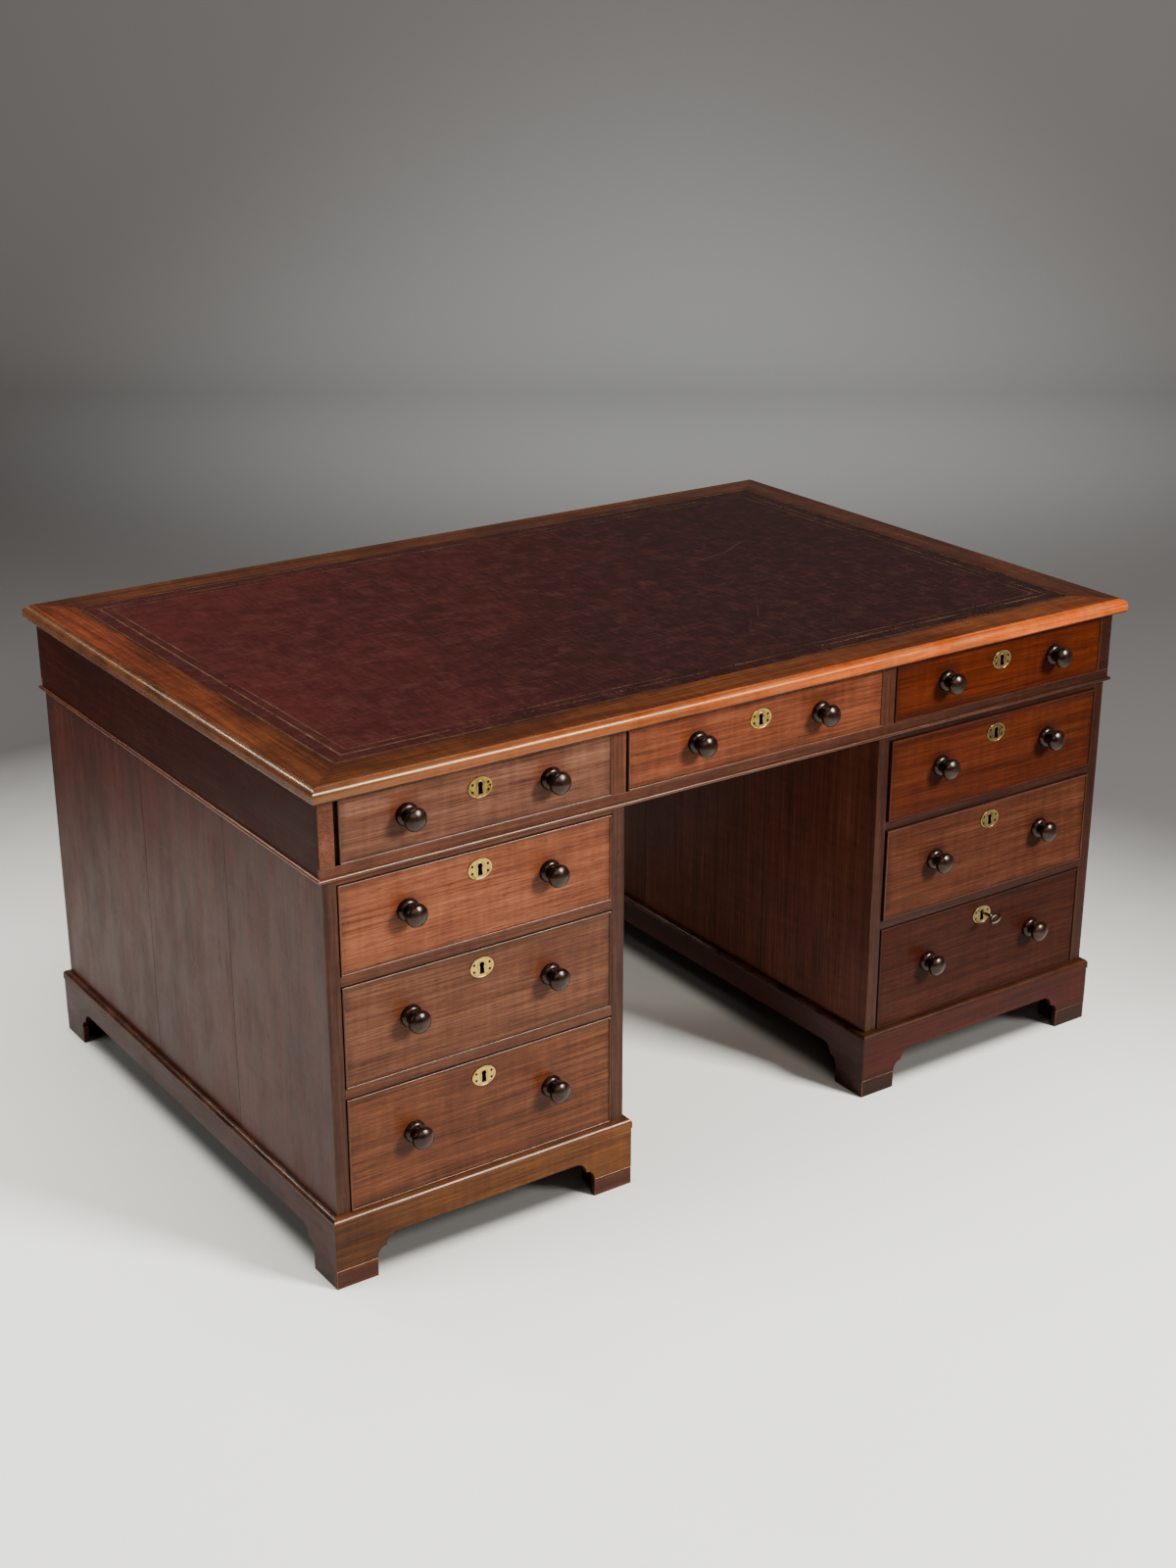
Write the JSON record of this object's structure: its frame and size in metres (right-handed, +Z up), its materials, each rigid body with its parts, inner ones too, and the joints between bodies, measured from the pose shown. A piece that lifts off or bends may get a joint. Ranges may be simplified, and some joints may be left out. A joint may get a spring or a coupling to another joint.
{
  "type": "partners desk",
  "caption": "Mahogany pedestal desk with a leathered top, cock-beaded drawers with turned knobs and brass keyhole plates, panelled cupboards behind, and bracket feet.",
  "frame": {"origin": "on the floor under the middle of the desk", "axes": "+X along the length, to the right of someone facing the nine-drawer front; +Y from that front to the cupboard side; +Z up"},
  "size_m": [1.528, 1.0465, 0.78],
  "materials": {
    "mahogany": "aged French polish",
    "border_mahogany": "faded French polish",
    "knob_mahogany": "dark glossy polish",
    "carcase_pine": "bare, darkened",
    "leather": "worn oxblood hide with gilt lines",
    "brass": "aged",
    "key_steel": "worn steel"
  },
  "bodies": {
    "carcase": {"writing_leather": "leather", "top_border": "border_mahogany", "top_panel": "carcase_pine", "frieze_ends": "mahogany", "frieze_rails": "mahogany", "frieze_dividers": "mahogany", "frieze_runners": "carcase_pine", "frieze_bead": "mahogany", "foot_blocks": "carcase_pine", "hinge_plates": "brass", "left_pedestal_sides": "mahogany", "left_pedestal_boards": "mahogany", "left_drawer_blades": "mahogany", "left_plinth": "mahogany", "right_pedestal_sides": "mahogany", "right_pedestal_boards": "mahogany", "right_drawer_blades": "mahogany", "right_plinth": "mahogany"},
    "frieze_left": {"frieze_left_drawer": "mahogany", "frieze_left_knobs": "knob_mahogany", "frieze_left_lock": "brass"},
    "frieze_centre": {"frieze_centre_drawer": "mahogany", "frieze_centre_knobs": "knob_mahogany", "frieze_centre_lock": "brass"},
    "frieze_right": {"frieze_right_drawer": "mahogany", "frieze_right_knobs": "knob_mahogany", "frieze_right_lock": "brass"},
    "rear_left": {"rear_left_drawer": "mahogany", "rear_left_knobs": "knob_mahogany", "rear_left_lock": "brass"},
    "rear_centre": {"rear_centre_drawer": "mahogany", "rear_centre_knobs": "knob_mahogany", "rear_centre_lock": "brass"},
    "rear_right": {"rear_right_drawer": "mahogany", "rear_right_knobs": "knob_mahogany", "rear_right_lock": "brass"},
    "left_bottom": {"left_bottom_drawer": "mahogany", "left_bottom_knobs": "knob_mahogany", "left_bottom_lock": "brass"},
    "left_middle": {"left_middle_drawer": "mahogany", "left_middle_knobs": "knob_mahogany", "left_middle_lock": "brass"},
    "left_top": {"left_top_drawer": "mahogany", "left_top_knobs": "knob_mahogany", "left_top_lock": "brass"},
    "right_bottom": {"right_bottom_drawer": "mahogany", "right_bottom_knobs": "knob_mahogany", "right_bottom_lock": "brass"},
    "right_middle": {"right_middle_drawer": "mahogany", "right_middle_knobs": "knob_mahogany", "right_middle_lock": "brass"},
    "right_top": {"right_top_drawer": "mahogany", "right_top_knobs": "knob_mahogany", "right_top_lock": "brass"},
    "left_cupboard_door": {"left_door": "mahogany", "left_door_fittings": "brass"},
    "right_cupboard_door": {"right_door": "mahogany", "right_door_fittings": "brass"},
    "key": {"drawer_key": "key_steel"},
    "bolt": {"lock_bolt": "brass"}
  },
  "joints": [
    {"name": "frieze_left_slide", "type": "slide", "parent": "carcase", "child": "frieze_left", "axis": [0, -1, 0], "range_m": [0, 0.34]},
    {"name": "frieze_centre_slide", "type": "slide", "parent": "carcase", "child": "frieze_centre", "axis": [0, -1, 0], "range_m": [0, 0.34]},
    {"name": "frieze_right_slide", "type": "slide", "parent": "carcase", "child": "frieze_right", "axis": [0, -1, 0], "range_m": [0, 0.34]},
    {"name": "rear_left_slide", "type": "slide", "parent": "carcase", "child": "rear_left", "axis": [0, 1, 0], "range_m": [0, 0.34]},
    {"name": "rear_centre_slide", "type": "slide", "parent": "carcase", "child": "rear_centre", "axis": [0, 1, 0], "range_m": [0, 0.34]},
    {"name": "rear_right_slide", "type": "slide", "parent": "carcase", "child": "rear_right", "axis": [0, 1, 0], "range_m": [0, 0.34]},
    {"name": "left_bottom_slide", "type": "slide", "parent": "carcase", "child": "left_bottom", "axis": [0, -1, 0], "range_m": [0, 0.4]},
    {"name": "left_middle_slide", "type": "slide", "parent": "carcase", "child": "left_middle", "axis": [0, -1, 0], "range_m": [0, 0.4]},
    {"name": "left_top_slide", "type": "slide", "parent": "carcase", "child": "left_top", "axis": [0, -1, 0], "range_m": [0, 0.4]},
    {"name": "right_bottom_slide", "type": "slide", "parent": "carcase", "child": "right_bottom", "axis": [0, -1, 0], "range_m": [0, 0.4]},
    {"name": "right_middle_slide", "type": "slide", "parent": "carcase", "child": "right_middle", "axis": [0, -1, 0], "range_m": [-0.003, 0.397]},
    {"name": "right_top_slide", "type": "slide", "parent": "carcase", "child": "right_top", "axis": [0, -1, 0], "range_m": [-0.004, 0.396]},
    {"name": "left_door_hinge", "type": "hinge", "parent": "carcase", "child": "left_cupboard_door", "pos_m": [-0.7222, 0.4868, 0.37], "axis": [0, 0, 1], "range_deg": [0, 170]},
    {"name": "right_door_hinge", "type": "hinge", "parent": "carcase", "child": "right_cupboard_door", "pos_m": [0.7222, 0.4868, 0.37], "axis": [0, 0, -1], "range_deg": [0, 170]},
    {"name": "key_turn", "type": "hinge", "parent": "right_bottom", "child": "key", "pos_m": [0.4955, -0.483, 0.2705], "axis": [0, 1, 0], "range_deg": [-60, 120]},
    {"name": "bolt_slide", "type": "slide", "parent": "right_bottom", "child": "bolt", "axis": [0, 0, 1], "range_m": [-0.00234, 0.00467]}
  ],
  "couplings": [
    {"joint": "bolt_slide", "follows": "key_turn", "m_per_rad": 0.0022282}
  ]
}
